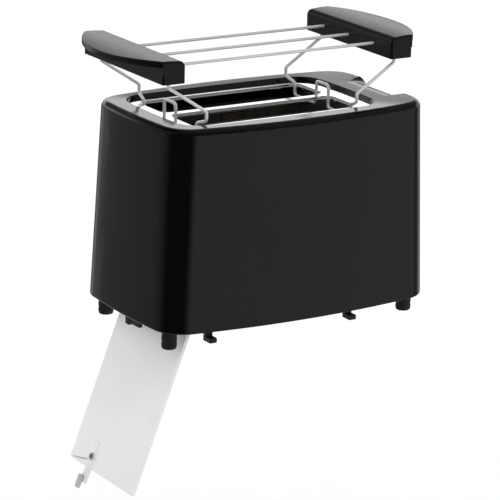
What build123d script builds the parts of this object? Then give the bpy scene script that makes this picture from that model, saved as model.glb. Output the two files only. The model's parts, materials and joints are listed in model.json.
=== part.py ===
from build123d import *
import math
import os

os.makedirs("parts", exist_ok=True)

# Two-slice toaster, millimetres. X runs along the body to the control end, Y from the
# front face to the back, Z up. The origin is the middle of the plane of the four feet.
# The crumb flap is modelled hanging open.

# Housing
body_length = 239.6          # over the bowed ends, at the lower edge
body_width = 154.0           # over the bowed sides, at the lower edge
body_bottom = 15.0           # lower edge above the feet
body_top = 169.0
body_corner = 24.5           # upright corners in plan
end_bow = 3.6                # how far the ends bulge
side_bow = 10.7
left_draft = 6.4             # how far each wall leans in by the top
right_draft = 3.6
side_draft = 4.8
housing_wall = 2.5
housing_roof = 2.7
top_round = 5.5
bottom_round = 1.5
inner_round = 3.0

# Recess in the roof, and the finger scoop at the control end
rim_left = 24.3              # recess from the body's lower edge, at each end and side
rim_right = 41.3
rim_side = 22.0
recess_corner = 20.0
recess_end_bow = 2.4
recess_side_bow = 2.0
recess_round = 0.6
scoop_length = 26.0          # from where the floor starts to dip to the end wall
scoop_front = 33.0           # side walls from the middle
scoop_back = 38.5
scoop_bend = 42.0            # radius of the dipping floor
scoop_front_round = 20.0
scoop_back_round = 5.0
scoop_skin = 2.2

# Bread slots in the chrome deck
slot_length = 141.0
slot_width = 37.0
slot_middle = -11.0          # X of the slots' middle
slot_corner = 5.0
centre_bar = 10.0            # between the two slots
deck_sheet = 0.8
deck_margin = 2.0            # deck reaching under the housing's roof
deck_roll = 2.0              # outside radius of the rolled slot edges
collar_drop = 0.4            # straight part below the roll

# Base moulding, feet and cord hooks
base_gap = 0.2
base_thickness = 3.0
base_recess = 1.2            # base above the housing's lower edge
foot_spacing_x = 210.6
foot_spacing_y = 97.8
foot_radius = 6.0
foot_round = 1.5
hook_left = -76.5
hook_right = 47.7
hook_width = 6.0
hook_stem = 3.5
hook_stem_y = 55.0
hook_reach = 10.0
hook_drop = 12.0
clip_x = -108.5
clip_y = 3.0
clip_thickness = 3.0
clip_drop = 12.5
clip_step = 2.0
clip_gap = 2.5
clip_narrow = 5.5
clip_wide = 13.0
boss_radius = 4.5
boss_height = 26.0
boss_y = 34.0
boss_inset = 8.5             # boss centre inside the housing's end
screw_shank = 1.6
screw_head = 3.2
screw_head_height = 2.0
screw_length = 14.0
screw_bite = 2.5             # thread of the short screws
bore_gap = 0.05              # radial clearance of shafts and pins
seat_gap = 0.3               # between a piece and the seat that it may leave

# Toasting chamber
sheet = 0.8
chamber_gap = 4.4            # from the slots' ends to the chassis plates
chassis_half_width = 52.0
chassis_flange = 10.0
reflector_y = 50.0
board_thickness = 1.0
board_y = 46.0
reflector_drop = 10.0        # reflectors below the deck
board_bottom = 27.0
board_top = 148.0
ribbon_width = 3.0
ribbon_thickness = 0.3
ribbon_count = 9
guard_wire = 0.9             # radius
guard_rail = 1.2             # radius
guard_inset = 3.6            # guard planes inside the slot's sides
guard_bottom = 26.0
guard_top = 151.0
guard_count = 7

# Bread lift
lift_travel = 55.0
lifter_top = 94.0            # bread rests here with the lever up
lifter_depth = 9.0
lifter_thickness = 1.2
finger_count = 5
finger_length = 20.0
finger_width = 5.0
lifter_slot = 4.0            # slots in the chassis plate
carriage_sheet = 1.5
carriage_half_width = 30.0
carriage_height = 20.0
neck_half_width = 7.0
rod_radius = 2.5
rod_gap = 1.0                # bush off the chassis plate
rod_reach = 4.8              # carriage plate from the rod's middle
bush_radius = 4.6
bush_height = 18.0
bracket_height = 2.0
bracket_rise = 3.0           # bracket above the carriage at rest
spring_y = 12.5
spring_radius = 3.6
spring_wire = 0.45           # radius
spring_turns = 20
lever_height = 146.0
lever_thickness = 2.5
lever_depth = 8.0
lever_clear = 1.5            # round the lever in its slot
knob_length = 17.0
knob_width = 30.0
knob_height = 12.0
knob_gap = 3.0               # knob off the end wall
arm_tail = 9.0               # lever inside the knob

# Controls
board_x = 98.0
circuit_thickness = 1.6
circuit_half_width = 40.0
circuit_top = 82.0
button_spacing = 22.0
button_height = 72.0
button_radius = 6.0
button_gap = 0.3
button_travel = 2.0
button_proud = 3.0
button_flange = 1.6
button_shelf = 0.9           # flange behind the end wall
switch_size = 6.5
switch_depth = 4.0
dial_height = 43.0
dial_radius = 14.0
dial_depth = 13.0
dial_gap = 0.6
dial_shaft = 3.0             # radius
dial_round = 2.0
pot_size = 17.0
pot_depth = 8.0
magnet_y = -19.0
magnet_radius = 7.5
core_radius = 3.0
magnet_height = 18.0
magnet_gap = 0.6
armature_size = 14.0
armature_thickness = 2.0
inlet_x = 87.0
inlet_y = 30.0
inlet_bore = 3.6
inlet_radius = 6.5
inlet_flange = 9.0
inlet_drop = 3.5
terminal_length = 12.0
lead_radius = 1.1
lead_spacing = 5.0
lead_rise = 8.0              # step between the leads' upper ends
lead_top = 136.0
lead_bend = 5.0

# Crumb flap
hinge_x = -85.5
hinge_z = 14.0
flap_length = 136.0
flap_width = 97.6
flap_sheet = 0.6
flap_lip = 2.6
flap_open = 111.0            # degrees from closed to hanging open
pin_radius = 1.0
knuckle_wall = 0.85
knuckle_width = 12.0
knuckle_spacing = 34.0
ear_thickness = 3.0
ear_gap = 0.5
latch_place = 126.4          # rivet from the hinge, along the flap
latch_y = 19.0
latch_width = 9.0
latch_sheet = 0.5
latch_length = 34.0
latch_start = 114.0
rivet_radius = 1.5
rivet_head = 3.0
rivet_head_height = 1.2
tab_length = 11.0
tab_width = 5.5
tab_thickness = 3.0
tab_shift = 3.5
catch_width = 16.0
catch_gap = 0.8

# Bun warming rack
rack_middle = -11.4
rack_reach = 89.8            # inner faces of the handles from the rack's middle
rack_rise = 37.7             # handles above the deck
handle_depth = 18.7
handle_half_length = 60.0
handle_height = 8.0          # lower half, up to the wires' middle
handle_bulge = 40.2          # lip's greatest reach from the inner face
lip_rise = 5.0               # heights from here to the crown are above the wires' middle
crown_inner = 8.3
crown_top = 9.6
crown_outer = 8.2
crown_curl = 4.5             # radius along the crown's inner edge
handle_round = 1.6
crown_share = 0.42           # crest's place across the handle
rack_wire = 1.15             # radius
rack_wire_spacing = 34.6
leg_wire = 1.25              # radius
leg_y = 50.5
leg_top_reach = 98.7
leg_reach = 65.9             # upright part from the rack's middle
leg_shoulder_drop = 4.5      # below the handle
leg_knee_rise = 11.9         # above the deck
leg_jog_rise = 5.0
leg_seat_gap = 0.3
leg_sink = 8.3               # cross run below the deck
staple_reach = 67.7          # staple from the rack's middle
staple_half_width = 8.5
staple_height = 9.5
leg_bend = 3.2
slot_side_gap = 2.6          # wire's middle inside the slot's side
leg_socket = 6.0
wire_socket = 12.0

# Places worked out from the sizes above
deck_top = body_top - housing_roof
slot_left = slot_middle - slot_length / 2
slot_right = slot_middle + slot_length / 2
slot_inner = centre_bar / 2
slot_outer = slot_inner + slot_width
slot_y = slot_inner + slot_width / 2
base_bottom = body_bottom + base_recess
base_top = base_bottom + base_thickness
rear_plate_x = slot_left - chamber_gap - sheet
control_plate_x = slot_right + chamber_gap
hinge_eye = pin_radius + bore_gap + knuckle_wall
flap_underside = hinge_z - hinge_eye
recess_left = rim_left - body_length / 2
recess_right = body_length / 2 - rim_right
recess_half_width = body_width / 2 - rim_side
chamber_left = rear_plate_x + sheet
chamber_right = control_plate_x
control_outer_x = control_plate_x + sheet
rod_x = control_outer_x + rod_gap + bush_radius
carriage_x = rod_x + rod_reach
handle_bottom = deck_top + rack_rise
handle_split = handle_bottom + handle_height
lip_bottom = handle_split + lip_rise
flange_screw_places = [(x, y) for x in (rear_plate_x - chassis_flange / 2,
                                        control_outer_x + chassis_flange / 2)
                       for y in (-boss_y, boss_y)]


def lean(z):
    """Share of the whole draft reached at height z."""
    return (z - body_bottom) / (body_top - body_bottom)


def body_left(z):
    return -body_length / 2 + left_draft * lean(z)


def body_right(z):
    return body_length / 2 - right_draft * lean(z)


def body_half(z):
    return body_width / 2 - side_draft * lean(z)


def bowed_outline(z, left, right, half, corner, bow_end, bow_side):
    """Face with two bowed ends, two bowed sides and round corners, at height z."""
    middle = (left + right) / 2
    x0 = left + bow_end
    x1 = right - bow_end
    y0 = half - bow_side
    with BuildSketch(Plane.XY.offset(z)) as outline:
        with BuildLine():
            ThreePointArc((x0, -y0), (middle, -half), (x1, -y0))
            ThreePointArc((x1, -y0), (right, 0), (x1, y0))
            ThreePointArc((x1, y0), (middle, half), (x0, y0))
            ThreePointArc((x0, y0), (left, 0), (x0, -y0))
        make_face()
        fillet(outline.vertices(), corner)
    return outline.sketch


def body_section(z, inset=0.0):
    """Outline of the body at height z, drawn in by inset."""
    return bowed_outline(z, body_left(z) + inset, body_right(z) - inset, body_half(z) - inset,
                         body_corner - inset, end_bow, side_bow)


def recess_section(z, grow=0.0):
    return bowed_outline(z, recess_left - grow, recess_right + grow, recess_half_width + grow,
                         recess_corner + grow, recess_end_bow, recess_side_bow)


def save(builder, name):
    builder.part.label = name
    export_step(builder.part, f"parts/{name}.step")


def block(x0, x1, y0, y1, z0, z1, mode=Mode.ADD):
    """Box between two corners."""
    with Locations(((x0 + x1) / 2, (y0 + y1) / 2, (z0 + z1) / 2)):
        Box(x1 - x0, y1 - y0, z1 - z0, mode=mode)


def post(x, y, z0, z1, radius, mode=Mode.ADD):
    """Upright cylinder from z0 to z1."""
    with Locations((x, y, (z0 + z1) / 2)):
        Cylinder(radius, z1 - z0, mode=mode)


def rod_x_way(x0, x1, y, z, radius, mode=Mode.ADD):
    """Cylinder along X from x0 to x1."""
    with Locations(((x0 + x1) / 2, y, z)):
        Cylinder(radius, x1 - x0, rotation=(0, 90, 0), mode=mode)


def rod_y_way(x, y0, y1, z, radius, mode=Mode.ADD):
    """Cylinder along Y from y0 to y1."""
    with Locations((x, (y0 + y1) / 2, z)):
        Cylinder(radius, y1 - y0, rotation=(90, 0, 0), mode=mode)


# Scoop: a ring about an axis across the body, so the floor starts level and dips
scoop_start = body_right(body_top) - scoop_length


def scoop_solid(grow):
    front = -scoop_front - grow
    back = scoop_back + grow
    middle = body_top - scoop_bend
    floor_z = middle + scoop_bend - grow
    with BuildPart() as scoop:
        with BuildSketch(Plane.YZ.offset(scoop_start)) as profile:
            with Locations(((front + back) / 2, floor_z + scoop_bend / 2)):
                Rectangle(back - front, scoop_bend)
            low = profile.vertices().group_by(Axis.Z)[0].sort_by(Axis.Y)
            fillet(low[0], scoop_front_round + grow)
            low = profile.vertices().group_by(Axis.Z)[0].sort_by(Axis.Y)
            fillet(low[-1], scoop_back_round + grow)
        revolve(axis=Axis((scoop_start, 0, middle), (0, 1, 0)), revolution_arc=89.0)
    return scoop.part


scoop_cut = scoop_solid(0.0)
scoop_wall = scoop_solid(scoop_skin)

# Lever slot, button holes and dial hole in the control end
lever_low = lever_height - lift_travel - lever_depth / 2 - lever_clear
lever_high = lever_height + lever_depth / 2 + lever_clear
end_reach = body_length / 2 + 5.0
button_places = [-button_spacing, 0.0, button_spacing]
boss_left = body_left(body_bottom) + boss_inset
boss_right = body_right(body_bottom) - boss_inset
boss_places = [(x, y) for x in (boss_left, boss_right) for y in (-boss_y, boss_y)]

with BuildPart() as cavity:
    loft([body_section(body_bottom - 2.0, housing_wall), body_section(deck_top, housing_wall)])
    fillet(cavity.edges().group_by(Axis.Z)[-1], inner_round)
    add(scoop_wall, mode=Mode.SUBTRACT)

with BuildPart() as body_form:
    loft([body_section(body_bottom), body_section(body_top)])

with BuildPart() as bosses:
    for x, y in boss_places:
        post(x, y, base_top, base_top + boss_height, boss_radius)
        reach = math.copysign(body_length / 2, x)
        block(min(x, reach), max(x, reach), y - housing_wall / 2, y + housing_wall / 2,
              base_top, base_top + boss_height)
    add(body_form.part, mode=Mode.INTERSECT)
    for x, y in boss_places:
        post(x, y, base_top, base_top + screw_length, screw_shank, mode=Mode.SUBTRACT)

with BuildPart() as housing:
    add(body_form.part)
    fillet(housing.edges().group_by(Axis.Z)[-1], top_round)
    fillet(housing.edges().group_by(Axis.Z)[0], bottom_round)
    add(scoop_cut, mode=Mode.SUBTRACT)
    add(cavity.part, mode=Mode.SUBTRACT)
    extrude(recess_section(deck_top - 1.0), amount=housing_roof + 2.0, mode=Mode.SUBTRACT)
    add(bosses.part)
    block(control_plate_x, end_reach, -lever_thickness / 2 - lever_clear,
          lever_thickness / 2 + lever_clear, lever_low, lever_high, mode=Mode.SUBTRACT)
    for y in button_places:
        rod_x_way(board_x, end_reach, y, button_height, button_radius + button_gap, mode=Mode.SUBTRACT)
    rod_x_way(board_x, end_reach, 0, dial_height, dial_shaft + dial_gap, mode=Mode.SUBTRACT)
    rim_edges = housing.edges().filter_by_position(Axis.Z, body_top - 0.01, body_top + 0.01)
    rim_edges = [e for e in rim_edges if abs(e.center().Y) < recess_half_width + 1
                 and recess_left - 1 < e.center().X < recess_right + 1]
    fillet(rim_edges, recess_round)
save(housing, "housing")


# Chrome deck: a pressed sheet with a rolled collar round each slot
def slot_sketch(z, grow=0.0):
    with BuildSketch(Plane.XY.offset(z)) as slots:
        with Locations((slot_middle, slot_y), (slot_middle, -slot_y)):
            RectangleRounded(slot_length + 2 * grow, slot_width + 2 * grow, slot_corner + grow)
    return slots.sketch


def deck_form(bottom, top, margin, shrink):
    """Plate with two slots, their upper edges rolled over."""
    with BuildPart() as form:
        extrude(recess_section(bottom, margin), amount=top - bottom)
        extrude(slot_sketch(bottom, shrink), amount=top - bottom, mode=Mode.SUBTRACT)
        rims = form.edges().group_by(Axis.Z)[-1]
        rims = [e for e in rims if abs(e.center().Y) < slot_outer + slot_corner
                and recess_left + margin < e.center().X < recess_right - margin]
        fillet(rims, deck_roll - shrink)
    return form.part


collar_bottom = deck_top - deck_roll - collar_drop
with BuildPart() as deck_plate:
    add(deck_form(collar_bottom, deck_top, deck_margin, 0.0))
    add(deck_form(collar_bottom - 1.0, deck_top - deck_sheet, 2 * deck_margin, deck_sheet),
        mode=Mode.SUBTRACT)
save(deck_plate, "deck_plate")

# Base moulding with its crumb opening, cord hooks, cord clip, hinge ears and catch
opening_left = hinge_x + hinge_eye + ear_thickness
opening_right = hinge_x + flap_length - 2 * ear_thickness
opening_half = flap_width / 2 - ear_thickness
ear_inner = flap_width / 2 + ear_gap
ear_outer = ear_inner + ear_thickness
base_edge = housing_wall + base_gap
foot_places = [(x, y) for x in (-foot_spacing_x / 2, foot_spacing_x / 2)
               for y in (-foot_spacing_y / 2, foot_spacing_y / 2)]
with BuildPart() as base_plate:
    plan = bowed_outline(base_bottom, body_left(base_top) + base_edge, body_right(base_top) - base_edge,
                         body_half(base_top) - base_edge, body_corner - base_edge, end_bow, side_bow)
    extrude(plan, amount=base_thickness)
    block(opening_left, opening_right, -opening_half, opening_half, base_bottom, base_top,
          mode=Mode.SUBTRACT)
    for x in (hook_left, hook_right):
        for side in (-1, 1):
            stem = sorted((side * hook_stem_y, side * (hook_stem_y + hook_stem)))
            toe = sorted((side * hook_stem_y, side * (hook_stem_y + hook_reach)))
            low = base_bottom - hook_drop
            block(x - hook_width / 2, x + hook_width / 2, *stem, low, base_bottom)
            block(x - hook_width / 2, x + hook_width / 2, *toe, low, low + hook_stem)
    for y0, y1, drop in ((clip_gap / 2, clip_gap / 2 + clip_narrow, clip_drop),
                         (-clip_gap / 2 - clip_wide, -clip_gap / 2, clip_drop - clip_step)):
        block(clip_x - clip_thickness / 2, clip_x + clip_thickness / 2, y0 + clip_y, y1 + clip_y,
              base_bottom - drop, base_bottom)
    for side in (-1, 1):
        ear = sorted((side * ear_inner, side * ear_outer))
        block(hinge_x - ear_thickness, hinge_x + ear_thickness, *ear, hinge_z - 2 * hinge_eye, base_bottom)
    rod_y_way(hinge_x, -ear_outer - 1, ear_outer + 1, hinge_z, pin_radius + bore_gap, mode=Mode.SUBTRACT)
    block(hinge_x + flap_length + catch_gap, hinge_x + flap_length + catch_gap + flap_lip,
          latch_y - catch_width / 2, latch_y + catch_width / 2, flap_underside + catch_gap / 2, base_bottom)
    for x, y in boss_places:
        post(x, y, base_bottom, base_top, screw_shank + bore_gap, mode=Mode.SUBTRACT)
    for x, y in flange_screw_places:
        post(x, y, base_top - screw_bite, base_top, screw_shank + bore_gap, mode=Mode.SUBTRACT)
    post(inlet_x, inlet_y, base_bottom, base_top, inlet_radius + bore_gap, mode=Mode.SUBTRACT)
save(base_plate, "base_plate")

with BuildPart() as feet:
    for x, y in foot_places:
        post(x, y, 0, base_bottom, foot_radius)
    fillet(feet.edges().group_by(Axis.Z)[0], foot_round)
save(feet, "feet")

with BuildPart() as base_screws:
    for x, y in boss_places:
        post(x, y, base_bottom - screw_head_height, base_bottom, screw_head)
        post(x, y, base_bottom, base_top + screw_length - 1, screw_shank)
save(base_screws, "base_screws")

# Chassis plates that close the toasting chamber's ends and carry the deck
chassis_top = deck_top - deck_sheet
lifter_low = lifter_top - lifter_depth
with BuildPart() as rear_chassis_plate:
    block(rear_plate_x, chamber_left, -chassis_half_width, chassis_half_width, base_top, chassis_top)
    block(rear_plate_x - chassis_flange, chamber_left, -chassis_half_width, chassis_half_width,
          base_top, base_top + sheet)
    for x, y in flange_screw_places:
        post(x, y, base_top, base_top + sheet, screw_shank + bore_gap, mode=Mode.SUBTRACT)
save(rear_chassis_plate, "rear_chassis_plate")

with BuildPart() as control_chassis_plate:
    block(control_plate_x, control_outer_x, -chassis_half_width, chassis_half_width, base_top, chassis_top)
    block(control_plate_x, control_outer_x + chassis_flange, -chassis_half_width, chassis_half_width,
          base_top, base_top + sheet)
    for y in (-slot_y, slot_y):
        block(control_plate_x, control_outer_x, y - lifter_slot / 2, y + lifter_slot / 2,
              lifter_low - lift_travel - lifter_slot / 2, lifter_top + lifter_slot / 2, mode=Mode.SUBTRACT)
    for x, y in flange_screw_places:
        post(x, y, base_top, base_top + sheet, screw_shank + bore_gap, mode=Mode.SUBTRACT)
save(control_chassis_plate, "control_chassis_plate")

with BuildPart() as chassis_screws:
    for x, y in flange_screw_places:
        post(x, y, base_top + sheet, base_top + sheet + screw_head_height, screw_head)
        post(x, y, base_top - screw_bite + seat_gap, base_top + sheet, screw_shank)
save(chassis_screws, "chassis_screws")

# Reflectors, mica boards and the heating ribbon on them
for side, name in ((-1, "reflector_front"), (1, "reflector_back")):
    with BuildPart() as reflector:
        faces_y = sorted((side * reflector_y, side * (reflector_y + sheet)))
        block(chamber_left, chamber_right, *faces_y, base_top, chassis_top - reflector_drop)
    save(reflector, name)

board_half = board_thickness / 2
for y, name in ((-board_y, "heater_board_front"), (0.0, "heater_board_middle"),
                (board_y, "heater_board_back")):
    with BuildPart() as board:
        block(chamber_left, chamber_right, y - board_half, y + board_half, board_bottom, board_top)
    save(board, name)


def ribbon(y, side):
    """Flat ribbon zigzagging up one face of a board."""
    y0, y1 = sorted((y + side * board_half, y + side * (board_half + ribbon_thickness)))
    rise = (board_top - board_bottom - 4 * ribbon_width) / ribbon_count
    x0 = chamber_left + 2 * ribbon_width
    x1 = chamber_right - 2 * ribbon_width
    for i in range(ribbon_count):
        z = board_bottom + 2 * ribbon_width + i * rise
        block(x0, x1, y0, y1, z, z + ribbon_width)
        end = x0 if i % 2 else x1 - ribbon_width
        if i < ribbon_count - 1:
            block(end, end + ribbon_width, y0, y1, z, z + rise + ribbon_width)


for faces, name in ((((-board_y, 1),), "heater_ribbon_front"),
                    (((0.0, -1), (0.0, 1)), "heater_ribbon_middle"),
                    (((board_y, -1),), "heater_ribbon_back")):
    with BuildPart() as windings:
        for y, side in faces:
            ribbon(y, side)
    save(windings, name)

# Bread guards: two rails and a row of upright wires on each side of a slot
guard_planes = {"guard_front_outer": -slot_outer + guard_inset,
                "guard_front_inner": -slot_inner - guard_inset,
                "guard_back_inner": slot_inner + guard_inset,
                "guard_back_outer": slot_outer - guard_inset}
guard_pitch = (slot_length - 2 * chamber_gap - 2 * guard_inset) / (guard_count - 1)
for name, y in guard_planes.items():
    with BuildPart() as guard:
        for z in (guard_bottom, guard_top):
            rod_x_way(chamber_left, chamber_right, y, z, guard_rail)
        for i in range(guard_count):
            x = slot_middle + (i - (guard_count - 1) / 2) * guard_pitch
            post(x, y, guard_bottom, guard_top, guard_wire)
    save(guard, name)

# Bread lift: two lifters on a sliding carriage
finger_pitch = (slot_length - 2 * finger_length) / (finger_count - 1)
for y, name in ((-slot_y, "lifter_front"), (slot_y, "lifter_back")):
    with BuildPart() as lifter:
        block(slot_left, carriage_x, y - lifter_thickness / 2, y + lifter_thickness / 2, lifter_low, lifter_top)
        for i in range(finger_count):
            x = slot_middle + (i - (finger_count - 1) / 2) * finger_pitch
            block(x - finger_width / 2, x + finger_width / 2, y - finger_length / 2, y + finger_length / 2,
                  lifter_top - lifter_thickness, lifter_top)
    save(lifter, name)

carriage_outer = carriage_x + carriage_sheet
carriage_low = (lifter_low + lifter_top - carriage_height) / 2
carriage_high = carriage_low + carriage_height
with BuildPart() as carriage:
    block(carriage_x, carriage_outer, -carriage_half_width, carriage_half_width, carriage_low, carriage_high)
    block(carriage_x, carriage_outer, -neck_half_width, neck_half_width, carriage_high,
          lever_height + lever_depth / 2)
    block(rod_x - spring_radius, carriage_outer, spring_y - spring_radius, spring_y + spring_radius,
          carriage_high - carriage_sheet, carriage_high)
save(carriage, "carriage")

bush_low = (carriage_low + carriage_high - bush_height) / 2
with BuildPart() as carriage_bush:
    post(rod_x, 0, bush_low, bush_low + bush_height, bush_radius)
    block(rod_x, carriage_x, -bush_radius, bush_radius, bush_low, bush_low + bush_height)
    post(rod_x, 0, bush_low, bush_low + bush_height, rod_radius + bore_gap, mode=Mode.SUBTRACT)
save(carriage_bush, "carriage_bush")

bracket_low = lever_height + lever_depth / 2 + bracket_rise
with BuildPart() as rod_bracket:
    block(control_outer_x, rod_x + bush_radius, -bush_radius, spring_y + spring_radius,
          bracket_low, bracket_low + bracket_height)
    post(rod_x, 0, bracket_low, bracket_low + bracket_height, rod_radius + bore_gap, mode=Mode.SUBTRACT)
save(rod_bracket, "rod_bracket")

with BuildPart() as guide_rod:
    post(rod_x, 0, base_top + sheet, bracket_low + bracket_height + bracket_rise, rod_radius)
save(guide_rod, "guide_rod")

spring_low = carriage_high + seat_gap + spring_wire
spring_high = bracket_low - seat_gap - spring_wire
spring_pitch = (spring_high - spring_low) / spring_turns
with BuildPart() as lift_spring:
    with BuildLine(Plane((rod_x, spring_y, spring_low))) as coil:
        Helix(spring_pitch, spring_high - spring_low, spring_radius - spring_wire)
    with BuildSketch(Plane(coil.line @ 0, z_dir=coil.line % 0)):
        Circle(spring_wire)
    sweep()
save(lift_spring, "lift_spring")
print("lift spring: least gap between turns", round(spring_pitch - 2 * spring_wire, 2), "mm")

knob_back = body_right(lever_height) + knob_gap
with BuildPart() as lever_arm:
    block(carriage_outer, knob_back + arm_tail, -lever_thickness / 2, lever_thickness / 2,
          lever_height - lever_depth / 2, lever_height + lever_depth / 2)
save(lever_arm, "lever_arm")

with BuildPart() as lever_knob:
    block(knob_back, knob_back + knob_length, -knob_width / 2, knob_width / 2,
          lever_height - knob_height / 2, lever_height + knob_height / 2)
    fillet(lever_knob.edges().filter_by(Axis.X), knob_height / 3)
    fillet(lever_knob.edges().group_by(Axis.X)[-1], knob_height / 4)
    block(knob_back, knob_back + arm_tail, -lever_thickness / 2, lever_thickness / 2,
          lever_height - lever_depth / 2, lever_height + lever_depth / 2, mode=Mode.SUBTRACT)
save(lever_knob, "lever_knob")

# Holding magnet on the base, and its armature on the carriage
magnet_x = carriage_outer + magnet_radius + magnet_gap
magnet_top = base_top + magnet_height
with BuildPart() as magnet_core:
    post(magnet_x, magnet_y, base_top, magnet_top, core_radius)
save(magnet_core, "magnet_core")

with BuildPart() as magnet_coil:
    post(magnet_x, magnet_y, base_top, magnet_top - armature_thickness, magnet_radius)
    post(magnet_x, magnet_y, base_top, magnet_top, core_radius + bore_gap, mode=Mode.SUBTRACT)
save(magnet_coil, "magnet_coil")

with BuildPart() as armature:
    low = magnet_top + seat_gap + lift_travel
    block(carriage_outer, carriage_outer + armature_size, magnet_y - armature_size / 2,
          magnet_y + armature_size / 2, low, low + armature_thickness)
save(armature, "armature")

# Circuit board with the button switches and the dial's potentiometer
circuit_face = board_x + circuit_thickness
with BuildPart() as circuit_board:
    block(board_x, circuit_face, -circuit_half_width, circuit_half_width, base_top, circuit_top)
save(circuit_board, "circuit_board")

switch_face = circuit_face + switch_depth
with BuildPart() as button_switches:
    for y in button_places:
        block(circuit_face, switch_face, y - switch_size / 2, y + switch_size / 2,
              button_height - switch_size / 2, button_height + switch_size / 2)
save(button_switches, "button_switches")

button_seat = body_right(button_height + button_radius) - housing_wall - button_shelf
for y, name in zip(button_places, ("cancel_button", "reheat_button", "defrost_button")):
    with BuildPart() as button:
        front = body_right(button_height) + button_proud
        rod_x_way(switch_face + button_travel + seat_gap, button_seat, y, button_height, button_radius / 2)
        rod_x_way(button_seat - button_flange, button_seat, y, button_height, button_radius + button_flange)
        rod_x_way(button_seat, front, y, button_height, button_radius)
        fillet(button.edges().group_by(Axis.X)[-1], button_flange / 2)
    save(button, name)

pot_face = circuit_face + pot_depth
with BuildPart() as dial_potentiometer:
    block(circuit_face, pot_face, -pot_size / 2, pot_size / 2, dial_height - pot_size / 2,
          dial_height + pot_size / 2)
    rod_x_way(pot_face - pot_depth / 2, pot_face, 0, dial_height, dial_shaft + bore_gap, mode=Mode.SUBTRACT)
save(dial_potentiometer, "dial_potentiometer")

dial_back = body_right(dial_height) + dial_gap
with BuildPart() as dial_spindle:
    rod_x_way(pot_face - pot_depth / 2 + seat_gap, dial_back + dial_depth / 2, 0, dial_height, dial_shaft)
save(dial_spindle, "dial_spindle")

with BuildPart() as browning_dial:
    rod_x_way(dial_back, dial_back + dial_depth, 0, dial_height, dial_radius)
    fillet(browning_dial.edges().group_by(Axis.X)[-1], dial_round)
    rod_x_way(dial_back, dial_back + dial_depth / 2, 0, dial_height, dial_shaft + bore_gap,
              mode=Mode.SUBTRACT)
save(browning_dial, "browning_dial")

# Mains inlet bush and terminal block; the lead itself isn't part of the model
with BuildPart() as cord_inlet:
    post(inlet_x, inlet_y, base_bottom - inlet_drop, base_bottom, inlet_flange)
    post(inlet_x, inlet_y, base_bottom, base_top + inlet_drop, inlet_radius)
    post(inlet_x, inlet_y, base_bottom - inlet_drop, base_top + inlet_drop, inlet_bore, mode=Mode.SUBTRACT)
save(cord_inlet, "cord_inlet")

terminal_y = inlet_y + inlet_flange
terminal_top = base_top + inlet_flange
with BuildPart() as terminal_block:
    block(inlet_x - inlet_flange, inlet_x + inlet_flange, terminal_y, terminal_y + terminal_length,
          base_top, terminal_top)
save(terminal_block, "terminal_block")

with BuildPart() as inner_leads:
    for i in (-1, 0, 1):
        x = inlet_x + i * lead_spacing
        y = terminal_y + terminal_length / 2
        z = lead_top + i * lead_rise
        with BuildLine() as path:
            FilletPolyline((x, y, terminal_top), (x, y, z), (control_outer_x, y, z), radius=lead_bend)
        with BuildSketch(Plane((x, y, terminal_top))):
            Circle(lead_radius)
        sweep()
save(inner_leads, "inner_leads")

# Crumb flap, drawn flat along its own plane from the hinge and hanging open
swing = math.radians(flap_open)
flap_plane = Plane((hinge_x, 0, hinge_z), x_dir=(math.cos(swing), 0, -math.sin(swing)),
                   z_dir=(math.sin(swing), 0, math.cos(swing)))
half_flap = flap_width / 2
with BuildPart(flap_plane) as crumb_flap:
    block(0, flap_length, -half_flap, half_flap, -hinge_eye, -hinge_eye + flap_sheet)
    for side in (-1, 1):
        lip = sorted((side * half_flap, side * (half_flap - flap_sheet)))
        block(2 * ear_thickness, flap_length, *lip, -hinge_eye, -hinge_eye + flap_lip)
    block(flap_length - flap_sheet, flap_length, -half_flap, half_flap, -hinge_eye, -hinge_eye + flap_lip)
    for i in (-1, 0, 1):
        y = i * knuckle_spacing
        rod_y_way(0, y - knuckle_width / 2, y + knuckle_width / 2, 0, hinge_eye)
        rod_y_way(0, y - knuckle_width / 2, y + knuckle_width / 2, 0, pin_radius + bore_gap, mode=Mode.SUBTRACT)
    post(latch_place, latch_y, -hinge_eye, -hinge_eye + flap_sheet, rivet_radius + bore_gap, mode=Mode.SUBTRACT)
save(crumb_flap, "crumb_flap")

with BuildPart() as flap_pin:
    rod_y_way(hinge_x, -ear_outer, ear_outer, hinge_z, pin_radius)
save(flap_pin, "flap_pin")

with BuildPart(flap_plane) as latch_leaf:
    leaf_low = -hinge_eye - latch_sheet
    block(latch_start, latch_start + latch_length, latch_y - latch_width / 2, latch_y + latch_width / 2,
          leaf_low, -hinge_eye)
    post(latch_place, latch_y, leaf_low, -hinge_eye, rivet_radius + bore_gap, mode=Mode.SUBTRACT)
save(latch_leaf, "latch_leaf")

with BuildPart(flap_plane) as latch_rivet:
    post(latch_place, latch_y, leaf_low - rivet_head_height, leaf_low, rivet_head)
    post(latch_place, latch_y, leaf_low, -hinge_eye + flap_sheet, rivet_radius)
    post(latch_place, latch_y, -hinge_eye + flap_sheet, -hinge_eye + flap_sheet + rivet_head_height / 2,
         rivet_head)
save(latch_rivet, "latch_rivet")

tab_start = latch_start + latch_length - tab_length / 2
with BuildPart(flap_plane) as latch_tab:
    block(tab_start, tab_start + tab_length, latch_y + tab_shift - tab_width / 2,
          latch_y + tab_shift + tab_width / 2, leaf_low - tab_thickness, leaf_low)
save(latch_tab, "latch_tab")

# Bun warming rack: two handles, three straight wires and two bent legs
wire_places = [-rack_wire_spacing, 0.0, rack_wire_spacing]
screw_places = [-rack_wire_spacing / 2, rack_wire_spacing / 2]


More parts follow.
